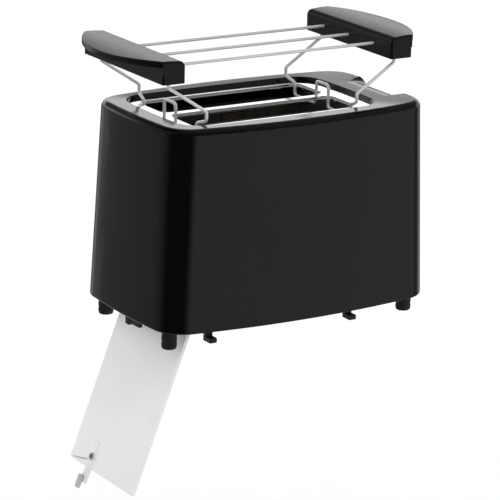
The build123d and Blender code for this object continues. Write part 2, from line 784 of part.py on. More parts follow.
def handle_sockets(sign):
    """Holes for the wires, legs and screws of one handle."""
    inner = rack_middle + sign * rack_reach
    for y in wire_places:
        ends = sorted((inner, inner + sign * wire_socket))
        rod_x_way(*ends, y, handle_split, rack_wire + bore_gap, mode=Mode.SUBTRACT)
    x = rack_middle + sign * leg_top_reach
    for y in (-leg_y, leg_y):
        post(x, y, handle_bottom, handle_bottom + leg_socket, leg_wire + bore_gap, mode=Mode.SUBTRACT)
    for y in screw_places:
        post(x, y, handle_bottom, handle_bottom + screw_head_height + seat_gap, screw_head + seat_gap,
             mode=Mode.SUBTRACT)
        post(x, y, handle_bottom, handle_split + screw_bite, screw_shank + bore_gap, mode=Mode.SUBTRACT)


for sign, name in ((-1, "left"), (1, "right")):
    inner = rack_middle + sign * rack_reach
    outer = inner + sign * handle_depth
    bulge = inner + sign * handle_bulge
    with BuildPart() as handle:
        block(min(inner, outer), max(inner, outer), -handle_half_length, handle_half_length,
              handle_bottom, handle_split)
        fillet(handle.edges().filter_by(Axis.Z), handle_round)
        fillet(handle.edges().group_by(Axis.Z)[0], handle_round / 2)
        handle_sockets(sign)
    save(handle, f"rack_handle_{name}")

    with BuildPart() as cap:
        with BuildSketch(Plane.XY.offset(handle_split)):
            with BuildLine():
                Line((outer, -handle_half_length), (inner, -handle_half_length))
                Line((inner, -handle_half_length), (inner, handle_half_length))
                Line((inner, handle_half_length), (outer, handle_half_length))
                ThreePointArc((outer, handle_half_length), (bulge, 0), (outer, -handle_half_length))
            make_face()
        extrude(amount=crown_top + 1)
        with BuildSketch(Plane.XZ) as profile:
            with BuildLine():
                crest = inner + sign * handle_bulge * crown_share
                start = (inner, handle_split + crown_inner)
                end = (bulge, handle_split + crown_outer)
                Line((inner, handle_split), start)
                ThreePointArc(start, (crest, handle_split + crown_top), end)
                Line(end, (bulge, lip_bottom))
                Line((bulge, lip_bottom), (outer, lip_bottom))
                Line((outer, lip_bottom), (outer, handle_split))
                Line((outer, handle_split), (inner, handle_split))
            make_face()
            fillet(profile.vertices().sort_by_distance(start)[0], crown_curl)
        extrude(amount=2 * handle_half_length, both=True, mode=Mode.INTERSECT)
        upper = [e for e in cap.edges() if e.center().Z > lip_bottom + handle_round
                 and abs(e.tangent_at(0.5).Z) < 0.9]
        rims = [e for e in upper if abs(e.center().Y) > handle_half_length - 1
                or abs(e.center().X) > abs(outer) + 1]
        fillet(rims, handle_round)
        handle_sockets(sign)
    save(cap, f"rack_cap_{name}")

for y, name in zip(wire_places, ("front", "middle", "back")):
    with BuildPart() as wire:
        end = rack_reach + wire_socket - seat_gap
        rod_x_way(rack_middle - end, rack_middle + end, y, handle_split, rack_wire)
    save(wire, f"rack_wire_{name}")

for sign, name in ((-1, "left"), (1, "right")):
    top_x = rack_middle + sign * leg_top_reach
    upright_x = rack_middle + sign * leg_reach
    staple_x = rack_middle + sign * staple_reach
    seat_z = deck_top + leg_wire + leg_seat_gap
    drop_y = slot_outer - slot_side_gap
    sink_z = deck_top - leg_sink
    half = [(top_x, -leg_y, handle_bottom + leg_socket - seat_gap),
            (top_x, -leg_y, handle_bottom - leg_shoulder_drop),
            (upright_x, -leg_y, deck_top + leg_knee_rise),
            (upright_x, -leg_y, deck_top + leg_jog_rise),
            (staple_x, -drop_y, seat_z),
            (staple_x, -drop_y, sink_z),
            (staple_x, -staple_half_width, sink_z),
            (staple_x, -staple_half_width, deck_top + staple_height)]
    route = half + [(x, -y, z) for x, y, z in reversed(half)]
    with BuildPart() as leg:
        with BuildLine() as path:
            FilletPolyline(*route, radius=leg_bend)
        with BuildSketch(Plane(path.line @ 0, z_dir=path.line % 0)):
            Circle(leg_wire)
        sweep()
    save(leg, f"rack_leg_{name}")

with BuildPart() as rack_screws:
    for sign in (-1, 1):
        for y in screw_places:
            x = rack_middle + sign * leg_top_reach
            head_top = handle_bottom + screw_head_height + seat_gap
            post(x, y, handle_bottom + seat_gap, head_top, screw_head)
            post(x, y, head_top, handle_split + screw_bite - seat_gap, screw_shank)
save(rack_screws, "rack_screws")
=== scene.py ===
import bpy
import bmesh
import json
import math
import numpy as np
from mathutils import Matrix, Vector
from mathutils.bvhtree import BVHTree


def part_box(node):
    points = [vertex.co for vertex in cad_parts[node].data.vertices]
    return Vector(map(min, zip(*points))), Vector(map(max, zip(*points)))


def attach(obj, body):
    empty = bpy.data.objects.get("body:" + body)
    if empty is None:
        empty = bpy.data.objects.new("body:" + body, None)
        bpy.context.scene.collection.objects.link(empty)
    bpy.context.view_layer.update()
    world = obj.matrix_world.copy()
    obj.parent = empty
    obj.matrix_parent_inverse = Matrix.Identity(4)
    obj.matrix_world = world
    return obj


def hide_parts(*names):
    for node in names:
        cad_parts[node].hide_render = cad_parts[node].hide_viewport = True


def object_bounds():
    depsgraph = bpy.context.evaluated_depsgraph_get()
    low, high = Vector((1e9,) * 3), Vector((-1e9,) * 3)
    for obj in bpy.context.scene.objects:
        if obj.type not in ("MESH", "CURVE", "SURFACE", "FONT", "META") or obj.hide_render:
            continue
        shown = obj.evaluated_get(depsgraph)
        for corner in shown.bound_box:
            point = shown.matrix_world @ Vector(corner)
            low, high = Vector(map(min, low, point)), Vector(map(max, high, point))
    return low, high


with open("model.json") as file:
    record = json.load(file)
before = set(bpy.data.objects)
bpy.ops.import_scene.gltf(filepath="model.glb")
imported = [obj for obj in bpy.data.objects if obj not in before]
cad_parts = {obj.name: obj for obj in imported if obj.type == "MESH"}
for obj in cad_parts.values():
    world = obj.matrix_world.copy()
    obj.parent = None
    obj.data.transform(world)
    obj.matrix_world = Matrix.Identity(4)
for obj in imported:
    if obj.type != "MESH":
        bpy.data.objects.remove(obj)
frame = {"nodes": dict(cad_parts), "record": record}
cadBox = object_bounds()
nodes = frame["nodes"]
record = frame["record"]
mm = 0.001
slotOf = {part["node"]: part["material_slot"] for part in record["subparts"]}
bodyOf = {node: body for body, members in record["behaviour"]["bodies"].items() for node in members}

view = {
    "azimuth": 31.7766,        # degrees to the left of the front face
    "elevation": 16.3237,
    "roll": 1.2948,
    "distance": 2237.288,      # mm from the target
    "target": (-14.17, -13.16, 54.66),
    "lens": 210.378,
    "sensor": 36.0,
    "clipEnd": 50.0,           # metres
}


# Camera matrix from azimuth, elevation and roll about the target
def makeCamera(settings):
    az, el, roll = (math.radians(settings[k]) for k in ("azimuth", "elevation", "roll"))
    back = np.array([-math.sin(az) * math.cos(el), -math.cos(az) * math.cos(el), math.sin(el)])
    right = np.cross(-back, (0, 0, 1))
    right /= np.linalg.norm(right)
    up = np.cross(right, -back)
    turnedRight = right * math.cos(roll) + up * math.sin(roll)
    turnedUp = -right * math.sin(roll) + up * math.cos(roll)
    place = (np.array(settings["target"]) + back * settings["distance"]) * mm
    matrix = Matrix.Identity(4)
    for row in range(3):
        matrix[row][0] = turnedRight[row]
        matrix[row][1] = turnedUp[row]
        matrix[row][2] = back[row]
        matrix[row][3] = place[row]
    data = bpy.data.cameras.new("camera")
    data.lens = settings["lens"]
    data.sensor_width = settings["sensor"]
    data.clip_end = settings["clipEnd"]
    camera = bpy.data.objects.new("camera", data)
    camera.matrix_world = matrix
    bpy.context.collection.objects.link(camera)
    bpy.context.scene.camera = camera


makeCamera(view)
print("stage: camera")


# Short ways to add nodes to one tree: a socket is named, or given by its number after the letter i
class Graph:
    def __init__(self, tree):
        self.tree = tree

    def add(self, kind, **inputs):
        node = self.tree.nodes.new(kind)
        for key, value in inputs.items():
            socket = node.inputs[int(key[1:]) if key[1:].isdigit() else key]
            if isinstance(value, bpy.types.NodeSocket):
                self.join(value, socket)
            else:
                socket.default_value = value
        return node

    def math(self, operation, a, b=0.0):
        node = self.add("ShaderNodeMath", i0=a, i1=b)
        node.operation = operation
        return node.outputs[0]

    def remap(self, value, span, low, high):
        node = self.add("ShaderNodeMapRange", i0=value, i1=span[0], i2=span[1], i3=low, i4=high)
        node.interpolation_type = "SMOOTHSTEP"
        return node.outputs[0]

    def join(self, output, socket):
        self.tree.links.new(output, socket)


rim = {
    "middle": -8.5 * mm,       # X of the recess's middle
    "halfLength": 87.0 * mm,
    "halfWidth": 55.0 * mm,
    "blend": 0.02,             # how far the corners are rounded, in metres
}


# The rim falls towards the recess: its height grows with the distance outward from the recess
def dishedRim(graph, place, fall):
    axes = graph.add("ShaderNodeSeparateXYZ", i0=place).outputs
    alongX = graph.math("ABSOLUTE", graph.math("SUBTRACT", axes[0], rim["middle"]))
    outX = graph.math("SUBTRACT", alongX, rim["halfLength"])
    outY = graph.math("SUBTRACT", graph.math("ABSOLUTE", axes[1]), rim["halfWidth"])
    reach = graph.add("ShaderNodeMath", i0=outX, i1=outY, i2=rim["blend"])
    reach.operation = "SMOOTH_MAX"
    lift = graph.math("MULTIPLY", reach.outputs[0], fall)
    return graph.add("ShaderNodeBump", Strength=1.0, Distance=1.0, Height=lift).outputs[0]


noise = {
    "band": (0.3, 0.7),        # the part of the noise's range that is spread over the whole change
    "cloudDetail": 4.0,
    "fineDetail": 3.0,
    "bumpDepth": 0.0002,       # metres
    "leastRoughness": 0.02,
}


# A base colour with soft mottling, a fine grain in the bump and a drift in the roughness
def makeLook(name, color, metallic=0.0, roughness=0.4, specular=0.5, mottle=0.12, mottleScale=45.0,
             grain=0.05, grainScale=900.0, drift=0.06, stretch=(1, 1, 1), rimFall=0.0):
    material = bpy.data.materials.new(name)
    material.use_nodes = True
    graph = Graph(material.node_tree)
    shader = material.node_tree.nodes["Principled BSDF"]
    shader.inputs["Metallic"].default_value = metallic
    shader.inputs["Specular IOR Level"].default_value = specular
    place = graph.add("ShaderNodeTexCoord").outputs["Object"]
    spread = graph.add("ShaderNodeMapping", Vector=place, Scale=stretch).outputs[0]
    cloud = graph.add("ShaderNodeTexNoise", Vector=place, Scale=mottleScale, Detail=noise["cloudDetail"])
    fine = graph.add("ShaderNodeTexNoise", Vector=spread, Scale=grainScale, Detail=noise["fineDetail"])
    mixer = graph.add("ShaderNodeMix")
    mixer.data_type = "RGBA"
    graph.join(graph.remap(cloud.outputs[0], noise["band"], 0.0, 1.0), mixer.inputs[0])
    mixer.inputs[6].default_value = (*(c * (1 - mottle) for c in color), 1)
    mixer.inputs[7].default_value = (*(min(1.0, c * (1 + mottle)) for c in color), 1)
    graph.join(mixer.outputs[2], shader.inputs["Base Color"])
    smoothest = max(noise["leastRoughness"], roughness - drift)
    graph.join(graph.remap(fine.outputs[0], noise["band"], smoothest, roughness + drift),
               shader.inputs["Roughness"])
    bump = graph.add("ShaderNodeBump", Strength=grain, Distance=noise["bumpDepth"],
                     Height=fine.outputs[0])
    if rimFall:
        graph.join(dishedRim(graph, place, rimFall), bump.inputs["Normal"])
    graph.join(bump.outputs[0], shader.inputs["Normal"])
    return material


brushedAcross = (1.0, 0.04, 1.0)
looks = {
    "casing_plastic": dict(color=(0.002, 0.002, 0.0022), roughness=0.11, mottleScale=14.0, grain=0.02,
                           drift=0.03, rimFall=0.055),
    "chrome_sheet": dict(color=(0.88, 0.88, 0.89), metallic=1.0, roughness=0.07, mottle=0.03, grain=0.02,
                         drift=0.03),
    "chrome_wire": dict(color=(0.97, 0.95, 0.92), metallic=0.5, roughness=0.12, mottle=0.05, grain=0.03,
                        drift=0.04),
    "flap_steel": dict(color=(0.90, 0.90, 0.90), metallic=0.12, roughness=0.42, mottle=0.03,
                       mottleScale=16.0, grain=0.12, grainScale=1400.0, stretch=brushedAcross),
    "leaf_steel": dict(color=(0.92, 0.92, 0.92), metallic=0.1, roughness=0.36, grain=0.1,
                       stretch=brushedAcross),
    "rivet_steel": dict(color=(0.6, 0.58, 0.56), metallic=0.5, roughness=0.3),
    "tab_plastic": dict(color=(0.5, 0.5, 0.51), roughness=0.5, grain=0.15),
    "rack_plastic": dict(color=(0.003, 0.003, 0.0034), roughness=0.24, specular=0.36, grain=0.12,
                         grainScale=1500.0),
    "base_plastic": dict(color=(0.008, 0.008, 0.008), roughness=0.46, grain=0.15, grainScale=1100.0),
    "foot_rubber": dict(color=(0.013, 0.013, 0.013), roughness=0.6, grain=0.2),
    "zinc_steel": dict(color=(0.5, 0.5, 0.48), metallic=1.0, roughness=0.36, mottle=0.16,
                       mottleScale=90.0),
    # chamber_sheet and mica are far darker than the real sheet and mica: their colour paints the shade
    # deep inside the toasting chamber
    "chamber_sheet": dict(color=(0.05, 0.048, 0.045), metallic=0.7, roughness=0.45, mottle=0.4,
                          mottleScale=30.0),
    "mica": dict(color=(0.05, 0.042, 0.032), roughness=0.55, mottle=0.35, mottleScale=40.0, grain=0.2),
    "heating_ribbon": dict(color=(0.09, 0.08, 0.07), metallic=0.9, roughness=0.5, mottle=0.3),
    "lift_plastic": dict(color=(0.7, 0.67, 0.58), roughness=0.48),
    "coil_copper": dict(color=(0.7, 0.3, 0.15), metallic=1.0, roughness=0.32, grain=0.3,
                        grainScale=2500.0),
    "board_laminate": dict(color=(0.24, 0.16, 0.07), roughness=0.5, mottle=0.2, stretch=brushedAcross),
    "switch_plastic": dict(color=(0.03, 0.03, 0.03), roughness=0.5),
    "knob_plastic": dict(color=(0.011, 0.011, 0.012), roughness=0.28, grain=0.1),
    "lead_sleeve": dict(color=(0.6, 0.6, 0.57), roughness=0.6, grain=0.2),
    "print_white": dict(color=(0.62, 0.62, 0.62), roughness=0.5, mottle=0.04),
    # A dark brown for the plug in the rivet's bore: painted shade inside the hollow
    "rivet_bore_shade": dict(color=(0.12, 0.07, 0.06), roughness=0.5, mottle=0.3),
    # A darker copy of the flap's steel for the crease bead: painted shade along the fold
    "crease_painted_shade": dict(color=(0.5, 0.5, 0.5), metallic=0.4, roughness=0.35, mottle=0.1),
    # A darker steel for the guard wires: painted shade inside the toasting chamber
    "slot_guard": dict(color=(0.22, 0.21, 0.2), metallic=1.0, roughness=0.35, mottle=0.3),
}
materials = {name: makeLook(name, **look) for name, look in looks.items()}


# One material for the whole of a mesh
def dress(data, look):
    data.materials.clear()
    data.materials.append(materials[look])


# The guard wires take a darker steel whose colour paints the shade inside the toasting chamber
for node, slotName in slotOf.items():
    dress(nodes[node].data, "slot_guard" if node.startswith("guard_") else slotName)
print("stage: materials")


# A new piece rides on a node's body, takes its slot, and replaces it unless it only adds to it
def settle(piece, node, look=None, replaces=True):
    bpy.context.collection.objects.link(piece)
    dress(piece.data, look or slotOf[node])
    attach(piece, bodyOf[node])
    if replaces:
        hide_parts(node)


# A corner's normal: the faces round its vertex that turn less than the limit, each counted by its area
def weightCorners(mesh, limit):
    faceCount, loopCount = len(mesh.polygons), len(mesh.loops)
    facing, area = np.empty(faceCount * 3), np.empty(faceCount)
    sides, vertexOf = np.empty(faceCount, dtype=int), np.empty(loopCount, dtype=int)
    mesh.polygons.foreach_get("normal", facing)
    mesh.polygons.foreach_get("area", area)
    mesh.polygons.foreach_get("loop_total", sides)
    mesh.loops.foreach_get("vertex_index", vertexOf)
    facing = facing.reshape(-1, 3)
    faceOf = np.repeat(np.arange(faceCount), sides)
    order = np.argsort(vertexOf, kind="stable")
    first = np.searchsorted(vertexOf[order], vertexOf[order])
    valence = np.bincount(vertexOf)[vertexOf[order]]
    rank = np.arange(loopCount) - first
    own = facing[faceOf[order]]
    least = math.cos(math.radians(limit))
    total = np.zeros((loopCount, 3))
    for shift in range(int(valence.max())):
        other = faceOf[order[first + (rank + shift) % valence]]
        counted = ((own * facing[other]).sum(axis=1) > least) & (shift < valence)
        total += np.where(counted, area[other], 0.0)[:, None] * facing[other]
    normals = np.empty((loopCount, 3))
    normals[order] = total / np.maximum(np.linalg.norm(total, axis=1), 1e-20)[:, None]
    mesh.normals_split_custom_set(normals.tolist())


smooth = {"mergeDistance": 2e-6, "copyAngle": 32.0, "gridAngle": 50.0}    # metres, degrees


# The CAD solid's own mesh with its seams merged and its rounded edges shaded smooth
def smoothCopy(node, name):
    mesh = nodes[node].data.copy()
    mesh.name = name
    if "custom_normal" in mesh.attributes:
        mesh.attributes.remove(mesh.attributes["custom_normal"])
    work = bmesh.new()
    work.from_mesh(mesh)
    bmesh.ops.remove_doubles(work, verts=work.verts, dist=smooth["mergeDistance"])
    work.to_mesh(mesh)
    work.free()
    mesh.shade_smooth()
    mesh.set_sharp_from_angle(angle=math.radians(smooth["copyAngle"]))
    weightCorners(mesh, smooth["copyAngle"])
    settle(bpy.data.objects.new(name, mesh), node)


smoothNames = {
    "housing": "casingShell", "deck_plate": "deckChrome", "base_plate": "baseMoulding",
    "crumb_flap": "flapSheet", "latch_leaf": "latchLeaf",
    "rack_handle_left": "handleLeft", "rack_handle_right": "handleRight",
    "rack_cap_left": "capLeft", "rack_cap_right": "capRight",
    "rack_leg_left": "legLeft", "rack_leg_right": "legRight",
    "rack_wire_front": "wireFront", "rack_wire_middle": "wireMiddle", "rack_wire_back": "wireBack",
}
for node, name in smoothNames.items():
    smoothCopy(node, name)
print("stage: smooth copies")


# Faces of one grid whose rows close on themselves, counted from its first point. The last row joins
# the first one in a ring, and otherwise each end row closes on a middle point that follows the grid
def gridFaces(rows, columns, start, ring):
    row, column = np.meshgrid(np.arange(rows if ring else rows - 1), np.arange(columns), indexing="ij")
    here, above = row * columns, (row + 1) % rows * columns
    after = (column + 1) % columns
    quads = np.stack([here + column, here + after, above + after, above + column], axis=-1)
    faces = (quads.reshape(-1, 4) + start).tolist()
    if not ring:
        around = np.arange(columns)
        after = (around + 1) % columns
        middle = np.full(columns, rows * columns)
        lastRow = (rows - 1) * columns
        faces += (np.stack([after, around, middle], axis=-1) + start).tolist()
        faces += (np.stack([around + lastRow, after + lastRow, middle + 1], axis=-1) + start).tolist()
    return faces


# One piece from grids of points, each rows by columns by three
def makeGrid(name, grids, ring=False):
    points, faces = [], []
    count = 0
    for grid in grids:
        faces += gridFaces(*grid.shape[:2], count, ring)
        points.append(grid.reshape(-1, 3))
        if not ring:
            points.append(np.stack([grid[0].mean(axis=0), grid[-1].mean(axis=0)]))
        count = sum(len(group) for group in points)
    mesh = bpy.data.meshes.new(name)
    mesh.from_pydata(np.concatenate(points).tolist(), [], faces)
    mesh.validate()
    work = bmesh.new()
    work.from_mesh(mesh)
    bmesh.ops.recalc_face_normals(work, faces=work.faces)
    work.to_mesh(mesh)
    work.free()
    mesh.shade_smooth()
    mesh.set_sharp_from_angle(angle=math.radians(smooth["gridAngle"]))
    return bpy.data.objects.new(name, mesh)


# Even angles once round, without the one that would repeat the first
def ringAngles(count):
    return np.linspace(0, 2 * math.pi, count, endpoint=False)


# Superellipse outline: the sign and power of cosine and sine, with the power 2 over the squareness
def squircle(angle, squareness):
    power = 2.0 / squareness
    return (np.sign(np.cos(angle)) * np.abs(np.cos(angle)) ** power,
            np.sign(np.sin(angle)) * np.abs(np.sin(angle)) ** power)


# A node's lowest and highest corners at rest, in metres
def cornersOf(node):
    return (np.array(corner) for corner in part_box(node))


# Places along a form that crowd towards both its ends: minus the cosine of an even angle
def crowdedRun(count, start):
    return -np.cos(np.linspace(start, math.pi - start, count))


foot = {
    "columns": 40,
    "profile": (               # share of the height, share of the radius
        (0.0, 0.80), (0.02, 0.90), (0.10, 0.97), (0.22, 1.0), (0.30, 0.96), (0.36, 0.95), (0.44, 0.99),
        (0.52, 1.0), (0.60, 0.96), (0.68, 0.96), (0.80, 1.0), (0.92, 1.0), (1.0, 0.99)),
}


# Feet: a turned profile of radius against height, with two grooves round the side
def makeFeet(settings):
    low, high = cornersOf("feet")
    centres = [mount["pos_m"] for mount in record["mounts"] if mount["name"].startswith("foot_face")]
    radius = high[0] - max(centre[0] for centre in centres)
    share, wide = np.array(settings["profile"]).T[..., None]
    angle = ringAngles(settings["columns"])
    grids = []
    for x, y, _ in centres:
        grid = np.empty((len(share), len(angle), 3))
        grid[..., 0] = x + radius * wide * np.cos(angle)
        grid[..., 1] = y + radius * wide * np.sin(angle)
        grid[..., 2] = low[2] + (high[2] - low[2]) * share
        grids.append(grid)
    settle(makeGrid("footPads", grids), "feet")


makeFeet(foot)
print("stage: feet")


flap = {
    "openAngle": 111.0,        # degrees from closed to hanging open, as at rest
    "eye": 2.0,                # mm from the hinge's middle to the flap's outer face
}
flapJoint = next(j for j in record["behaviour"]["joints"] if j["name"] == "crumb_flap_hinge")
flapTurn = math.radians(flap["openAngle"])
flapDown = np.array((math.cos(flapTurn), 0, -math.sin(flapTurn)))
flapOutward = np.array((-math.sin(flapTurn), 0, -math.cos(flapTurn)))


# A place on the flap, in mm along it from its hinge, across it, and out from its outer face
def onFlap(along, across, out):
    along, across, out = (value[..., None] * mm for value in np.broadcast_arrays(along, across, out))
    return (np.array(flapJoint["pos_m"]) + along * flapDown + across * np.array((0, 1, 0))
            + (out + flap["eye"] * mm) * flapOutward)


rivet = {
    "along": 126.4, "across": 19.0, "radius": 3.0, "eyeRadius": 1.5,     # mm
    "columns": 40,
    "rolled": ((0.9, 0.5), (1.0, 0.55), (1.0, 0.9), (0.94, 1.35), (0.8, 1.65), (0.66, 1.6)),
    "bore": ((1.1, 1.3), (1.0, 1.0), (1.0, 0.7), (0.4, 0.66)),
    "shadePlug": ((0.98, 0.6), (0.98, 0.95), (0.9, 1.02), (0.5, 1.05)),
}


# Hollow rivet: a turned head whose rim rolls over and drops into a bore, with a dark plug in it that
# paints the shade inside the bore. Each pair is a share of the head's or the eye's radius and the height
# above the flap in mm
def makeRivet(settings):
    angle = ringAngles(settings["columns"])

    def turned(name, profile):
        radius, out = np.array(profile).T[..., None]
        return makeGrid(name, [onFlap(settings["along"] + radius * np.cos(angle),
                                      settings["across"] + radius * np.sin(angle), out)])

    rolled = [(settings["radius"] * share, out) for share, out in settings["rolled"]]
    bore, shadePlug = ([(settings["eyeRadius"] * share, out) for share, out in settings[part]]
                  for part in ("bore", "shadePlug"))
    settle(turned("rivetHead", rolled + bore), "latch_rivet")
    # The dark plug is painted shade in the bore
    settle(turned("rivetBoreShade", shadePlug), "latch_rivet", "rivet_bore_shade", replaces=False)


crease = {
    "from": (134.3, 46.0), "to": (126.5, 12.0), "bow": 0.9, "radius": 0.45,    # mm
    "endShare": 0.15, "flatness": 0.8, "rows": 30, "columns": 14,
}


# Crease pressed into the flap: a bead on a bowed line, as thick as the root of a half sine wave.
# Its darker steel paints the fold's shade
def makeCrease(settings):
    run = np.linspace(0, 1, settings["rows"])[:, None]
    angle = ringAngles(settings["columns"])
    start, end = np.array(settings["from"]), np.array(settings["to"])
    wave = np.abs(np.sin(math.pi * run))
    thick = settings["radius"] * (settings["endShare"] + (1 - settings["endShare"]) * wave ** 0.5)
    along, across = (start[i] + (end[i] - start[i]) * run for i in (0, 1))
    grid = onFlap(along + settings["bow"] * wave + thick * np.cos(angle), across,
                  thick * np.sin(angle) * settings["flatness"])
    settle(makeGrid("flapCrease", [grid]), "crumb_flap", "crease_painted_shade", replaces=False)


tab = {
    "ribDepth": 0.28,          # mm
    "ribs": 6, "squareness": 4.0, "endPower": 8, "endRoot": 0.25,
    "firstAngle": 0.03,        # radians from each end of the run
    "rows": 56, "columns": 48,
}


# Ribbed tab: superellipse sections along the leaf that round off at both ends, with its outer side
# rippled by a cosine. Its size is the solid's, measured along the flap and out from it
def makeTab(settings):
    solid = np.array([v.co for v in nodes["latch_tab"].data.vertices])
    origin = onFlap(0, 0, 0)
    spans = ((solid - origin) @ flapDown / mm, solid[:, 1] / mm, (solid - origin) @ flapOutward / mm)
    middle = [(span.max() + span.min()) / 2 for span in spans]
    half = [(span.max() - span.min()) / 2 for span in spans]
    run = crowdedRun(settings["rows"], settings["firstAngle"])[:, None]
    across, upward = squircle(ringAngles(settings["columns"]), settings["squareness"])
    size = (1 - run ** settings["endPower"]) ** settings["endRoot"]
    ripple = np.cos(math.pi * settings["ribs"] * run) - 1
    ribs = settings["ribDepth"] * np.clip(upward, 0, 1) ** 2 * ripple
    grid = onFlap(middle[0] + half[0] * run, middle[1] + half[1] * size * across,
                  middle[2] + half[2] * size * upward + ribs)
    settle(makeGrid("tabRibbed", [grid]), "latch_tab")


makeRivet(rivet)
makeCrease(crease)
makeTab(tab)
print("stage: flap details")


knob = {
    "hollow": 1.1, "ribDepth": 0.18,           # mm
    "hollowPlace": 0.1, "hollowReach": 0.55,   # shares of the half length
    "ribs": 5, "squareness": 3.2, "endPower": 5.0,
    "firstAngle": 0.02,                        # radians from each end of the run
    "rows": 44, "columns": 72,
}


# Lever knob: superellipse sections along X that round off at both ends. Its top has a thumb hollow,
# a bell curve along X, and fine ribs, a cosine along X
def makeKnob(settings):
    low, high = cornersOf("lever_knob")
    middle, half = (low + high) / 2, (high - low) / 2
    along = crowdedRun(settings["rows"], settings["firstAngle"])[:, None]
    across, upward = squircle(ringAngles(settings["columns"]), settings["squareness"])
    size = (1 - np.abs(along) ** settings["endPower"]) ** (1 / settings["endPower"])
    top = np.clip(upward, 0, 1)
    bell = np.exp(-((along - settings["hollowPlace"]) / settings["hollowReach"]) ** 2)
    hollow = settings["hollow"] * mm * bell * top ** 2 * (1 - across ** 2)
    ribs = settings["ribDepth"] * mm * np.cos(math.pi * settings["ribs"] * along)
    grid = np.empty((settings["rows"], settings["columns"], 3))
    grid[..., 0] = middle[0] + half[0] * along
    grid[..., 1] = middle[1] + half[1] * size * across
    grid[..., 2] = middle[2] + half[2] * size * upward - hollow - ribs * top ** 4 * (1 - across ** 4)
    settle(makeGrid("leverGrip", [grid]), "lever_knob")


makeKnob(knob)
print("stage: lever knob")


dial = {
    "ridges": 34,
    "ridgeColumns": 8,
    "ripple": 0.32,            # mm
    "profile": (               # share of the depth, share of the radius, share of the ripple
        (0.0, 0.97, 0), (0.01, 1.0, 0), (0.16, 1.0, 0), (0.20, 0.97, 0), (0.24, 0.90, 0.4),
        (0.30, 0.87, 1), (0.60, 0.855, 1), (0.84, 0.84, 1), (0.92, 0.82, 0.8), (0.97, 0.79, 0.4),
        (1.0, 0.74, 0.1), (0.99, 0.70, 0), (0.95, 0.62, 0), (0.94, 0.4, 0), (0.94, 0.1, 0)),
}


# Browning dial: a skirt, a knurled wall whose radius ripples round the axis, and a dished face
def makeDial(settings):
    low, high = cornersOf("browning_dial")
    middle, radius = (low + high) / 2, (high[1] - low[1]) / 2
    share, wide, strength = np.array(settings["profile"]).T[..., None]
    angle = ringAngles(settings["ridges"] * settings["ridgeColumns"])
    ripple = settings["ripple"] * mm * strength * (np.cos(settings["ridges"] * angle) - 1)
    wall = radius * wide + ripple
    grid = np.empty((len(share), len(angle), 3))
    grid[..., 0] = low[0] + (high[0] - low[0]) * share
    grid[..., 1] = middle[1] + wall * np.cos(angle)
    grid[..., 2] = middle[2] + wall * np.sin(angle)
    settle(makeGrid("dialKnurled", [grid]), "browning_dial")


pointer = {
    "thick": 0.35, "halfWidth": 0.7,           # mm
    "depthShare": 0.945,                       # share of the dial's depth
    "middleShare": 0.36, "halfShare": 0.21,    # shares of the dial's radius
    "endPower": 6, "rows": 24, "columns": 16,
}


# Pointer on the dial's face: an elliptical bar along the radius that thins out at both ends
def makePointer(settings):
    low, high = cornersOf("browning_dial")
    middle, radius = (low + high) / 2, (high[1] - low[1]) / 2
    place = np.linspace(-1, 1, settings["rows"])[:, None]
    turn = ringAngles(settings["columns"])
    slim = 1 - np.abs(place) ** settings["endPower"]
    face = low[0] + (high[0] - low[0]) * settings["depthShare"]
    grid = np.empty((settings["rows"], settings["columns"], 3))
    grid[..., 0] = face + settings["thick"] * mm * slim * np.sin(turn)
    grid[..., 1] = middle[1] + settings["halfWidth"] * mm * slim * np.cos(turn)
    grid[..., 2] = middle[2] + radius * (settings["middleShare"] + settings["halfShare"] * place)
    settle(makeGrid("dialPointer", [grid]), "browning_dial", "print_white", replaces=False)


makeDial(dial)
makePointer(pointer)
print("stage: dial")


casingMesh = nodes["housing"].data
casingTree = BVHTree.FromPolygons([v.co for v in casingMesh.vertices],
                                  [p.vertices[:] for p in casingMesh.polygons])


# Where the control end lies at one depth and height, and which way it faces
def endFace(y, z):
    place, normal, _, _ = casingTree.ray_cast(Vector((cadBox[1][0] + mm, y, z)), Vector((-1, 0, 0)))
    return place, normal


scale = {
    "from": -130.0, "to": 130.0,               # degrees from upright
    "numberRing": 20.0, "numberSize": 5.2, "numberThick": 0.04, "numberGap": 0.03,      # mm
    "strokeRing": 16.6, "strokeHalf": 1.1, "strokeWidth": 0.3, "strokeThick": 0.12,     # mm
    "count": 6, "numberSteps": 3, "strokeEnd": 6, "rows": 9, "columns": 12,
}


# A number lies flat on the control end, upright: its lettering is made a mesh and then moved there
def makeNumber(text, place, normal, settings):
    name = "dialNumber" + text
    data = bpy.data.curves.new("lettering", "FONT")
    data.body = text
    data.size = settings["numberSize"] * mm
    data.extrude = settings["numberThick"] * mm
    data.align_x = "CENTER"
    data.align_y = "CENTER"
    data.resolution_u = settings["numberSteps"]
    lettering = bpy.data.objects.new("lettering", data)
    mesh = bpy.data.meshes.new_from_object(lettering)
    mesh.name = name
    bpy.data.objects.remove(lettering)
    bpy.data.curves.remove(data)
    across = Vector((0, 0, 1)).cross(normal).normalized()
    upright = normal.cross(across).normalized()
    matrix = Matrix((across, upright, normal)).transposed().to_4x4()
    matrix.translation = place + normal * settings["numberGap"] * mm
    mesh.transform(matrix)
    settle(bpy.data.objects.new(name, mesh), "housing", "print_white", replaces=False)


# A stroke: an elliptical bar along the dial's radius that thins out at both ends
def strokeGrid(place, side, up, settings):
    run = np.linspace(-1, 1, settings["rows"])[:, None]
    around = ringAngles(settings["columns"])
    slim = 1 - run ** settings["strokeEnd"]
    along = settings["strokeHalf"] * mm * run
    width = settings["strokeWidth"] * mm * slim * np.cos(around)
    grid = np.empty((settings["rows"], settings["columns"], 3))
    grid[..., 0] = place.x + settings["strokeThick"] * mm * slim * np.sin(around)
    grid[..., 1] = place.y + side * along + up * width
    grid[..., 2] = place.z + up * along - side * width
    return grid


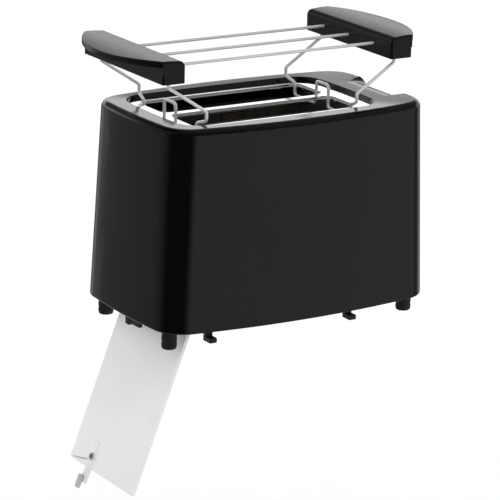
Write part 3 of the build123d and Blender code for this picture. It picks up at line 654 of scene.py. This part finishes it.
# Numbers round the dial and a short stroke under each
def makeScale(settings):
    low, high = cornersOf("browning_dial")
    _, y, z = (low + high) / 2
    strokes = []
    for i, degrees in enumerate(np.linspace(settings["from"], settings["to"], settings["count"])):
        side, up = math.sin(math.radians(degrees)), math.cos(math.radians(degrees))
        outer, inner = (endFace(y + side * settings[ring] * mm, z + up * settings[ring] * mm)
                        for ring in ("numberRing", "strokeRing"))
        makeNumber(str(i + 1), *outer, settings)
        strokes.append(strokeGrid(inner[0], side, up, settings))
    settle(makeGrid("dialStrokes", strokes), "housing", "print_white", replaces=False)


makeScale(scale)
print("stage: dial scale")


bezel = {
    "gap": 0.9,                # mm between the button and the bead
    "bead": 0.8,               # mm, the bead's width
    "flatness": 0.7,
    "squareness": 5.0,         # of a button that isn't round
    "roundWithin": 0.2,        # mm, the most that a round button's sides differ
    "besideButton": 2.0,       # mm, where the end face is measured
    "rows": 11,
    "columns": 72,
}


# Bezel round each button: a bead of elliptical section on a superellipse round the button
def makeBezels(settings):
    bead = ringAngles(settings["rows"])[:, None]
    angle = ringAngles(settings["columns"])
    for node in ("cancel_button", "reheat_button", "defrost_button"):
        low, high = cornersOf(node)
        middle, half = (low + high) / 2, (high - low) / 2
        isRound = abs(half[1] - half[2]) < settings["roundWithin"] * mm
        across, upward = squircle(angle, 2.0 if isRound else settings["squareness"])
        place, _ = endFace(middle[1] + half[1] + settings["besideButton"] * mm, middle[2])
        reach = (settings["gap"] + settings["bead"] * (1 + np.cos(bead)) / 2) * mm
        grid = np.empty((settings["rows"], settings["columns"], 3))
        grid[..., 0] = place.x + settings["bead"] * mm * np.sin(bead) * settings["flatness"]
        grid[..., 1] = middle[1] + (half[1] + reach) * across
        grid[..., 2] = middle[2] + (half[2] + reach) * upward
        settle(makeGrid(node + "Bezel", [grid], ring=True), "housing", "knob_plastic", replaces=False)


makeBezels(bezel)
print("stage: bezels")


# Each direction is level; a span is of its dot product with the reflected direction, or of the
# reflected direction's height, and a level of 1 is white
backdrop = {
    "behind": (0.5266, 0.8501, 0.0), "behindSpan": (0.3, 0.62),
    "behindLevel": 1.45,       # brighter than white, in reflections alone
    "topSpan": (0.18, 0.46), "bottomSpan": (0.0, 0.16), "faded": 0.05,
    "flankSpan": (0.5, 0.66), "flankEnd": (0.74, 0.88), "flankHeight": (-0.05, 0.1), "flankLevel": 0.7,
    "frontRight": (0.5266, -0.8501, 0.0), "frontRightSpan": (0.62, 0.9), "frontRightLevel": 0.46,
    "leftBack": (-0.5266, 0.8501, 0.0), "leftBackSpan": (0.55, 0.85), "leftBackLevel": 0.2,
    "sideSpan": (0.1, 0.4), "sideFaded": 0.1,
    "cameraSide": (-0.5266, -0.8501, 0.0), "cameraSpan": (0.2, 0.6), "cameraLevel": 0.015,
    "restLevel": 0.16,
}


# World: white to the camera and even light on every surface. For reflections it is a white backdrop
# behind the object that fades upward and downward, a paler strip on its flanks lower down, a grey
# wall to the front right, a dimmer one to the left and back, and a dim room elsewhere
def makeWorld(settings):
    world = bpy.data.worlds.new("studio")
    bpy.context.scene.world = world
    world.use_nodes = True
    graph = Graph(world.node_tree)
    direction = graph.add("ShaderNodeTexCoord").outputs["Generated"]
    height = graph.add("ShaderNodeSeparateXYZ", i0=direction).outputs[2]

    def toward(axis, span, low, high):
        dot = graph.add("ShaderNodeVectorMath", i0=direction, i1=settings[axis])
        dot.operation = "DOT_PRODUCT"
        return graph.remap(dot.outputs["Value"], settings[span], low, high)

    def product(*factors):
        value = factors[0]
        for factor in factors[1:]:
            value = graph.math("MULTIPLY", value, factor)
        return value

    faded = settings["faded"]
    behind = product(toward("behind", "behindSpan", 0.0, settings["behindLevel"]),
                     graph.remap(height, settings["topSpan"], 1.0, faded),
                     graph.remap(height, settings["bottomSpan"], faded, 1.0))
    flank = product(toward("behind", "flankSpan", 0.0, settings["flankLevel"]),
                    toward("behind", "flankEnd", 1.0, faded),
                    graph.remap(height, settings["flankHeight"], 1.0, 0.0))
    walls = graph.math("MAXIMUM",
                       toward("frontRight", "frontRightSpan", 0.0, settings["frontRightLevel"]),
                       toward("leftBack", "leftBackSpan", 0.0, settings["leftBackLevel"]))
    walls = product(walls, graph.remap(height, settings["sideSpan"], 1.0, settings["sideFaded"]))
    rest = toward("cameraSide", "cameraSpan", settings["restLevel"], settings["cameraLevel"])
    glossy = graph.math("MAXIMUM", graph.math("MAXIMUM", behind, flank), walls)
    glossy = graph.math("MAXIMUM", glossy, rest)
    path = graph.add("ShaderNodeLightPath").outputs
    shiny = graph.math("MAXIMUM", path["Is Glossy Ray"], path["Is Transmission Ray"])
    blend = graph.add("ShaderNodeMix", i0=shiny, i2=1.0, i3=glossy)
    seen = graph.add("ShaderNodeMix", i0=path["Is Camera Ray"], i2=blend.outputs[0], i3=1.0)
    background = world.node_tree.nodes["Background"]
    background.inputs["Color"].default_value = (1, 1, 1, 1)
    graph.join(seen.outputs[0], background.inputs["Strength"])


ground = {
    "height": -300.0,          # mm, well below the hanging flap
    "size": 12.0,              # metres
    "look": dict(color=(0.96, 0.96, 0.96), roughness=0.9, specular=0.0, mottle=0.01),
    "cameraGlow": 0.07,        # lifts its colour to white for the camera alone
}


# Floor: a level square round the middle, pale to every ray and white to the camera
def makeFloor(settings):
    half, z = settings["size"] / 2, settings["height"] * mm
    mesh = bpy.data.meshes.new("floor")
    mesh.from_pydata([(-half, -half, z), (half, -half, z), (half, half, z), (-half, half, z)], [],
                     [(0, 1, 2, 3)])
    floor = bpy.data.objects.new("floor", mesh)
    bpy.context.collection.objects.link(floor)
    material = makeLook("paleFloor", **settings["look"])
    graph = Graph(material.node_tree)
    shader = material.node_tree.nodes["Principled BSDF"]
    seen = graph.add("ShaderNodeLightPath").outputs["Is Camera Ray"]
    shader.inputs["Emission Color"].default_value = (1, 1, 1, 1)
    graph.join(graph.math("MULTIPLY", seen, settings["cameraGlow"]), shader.inputs["Emission Strength"])
    mesh.materials.append(material)
    floor.visible_glossy = False


makeWorld(backdrop)
makeFloor(ground)
print("stage: studio")

bpy.context.scene.view_settings.view_transform = "Standard"
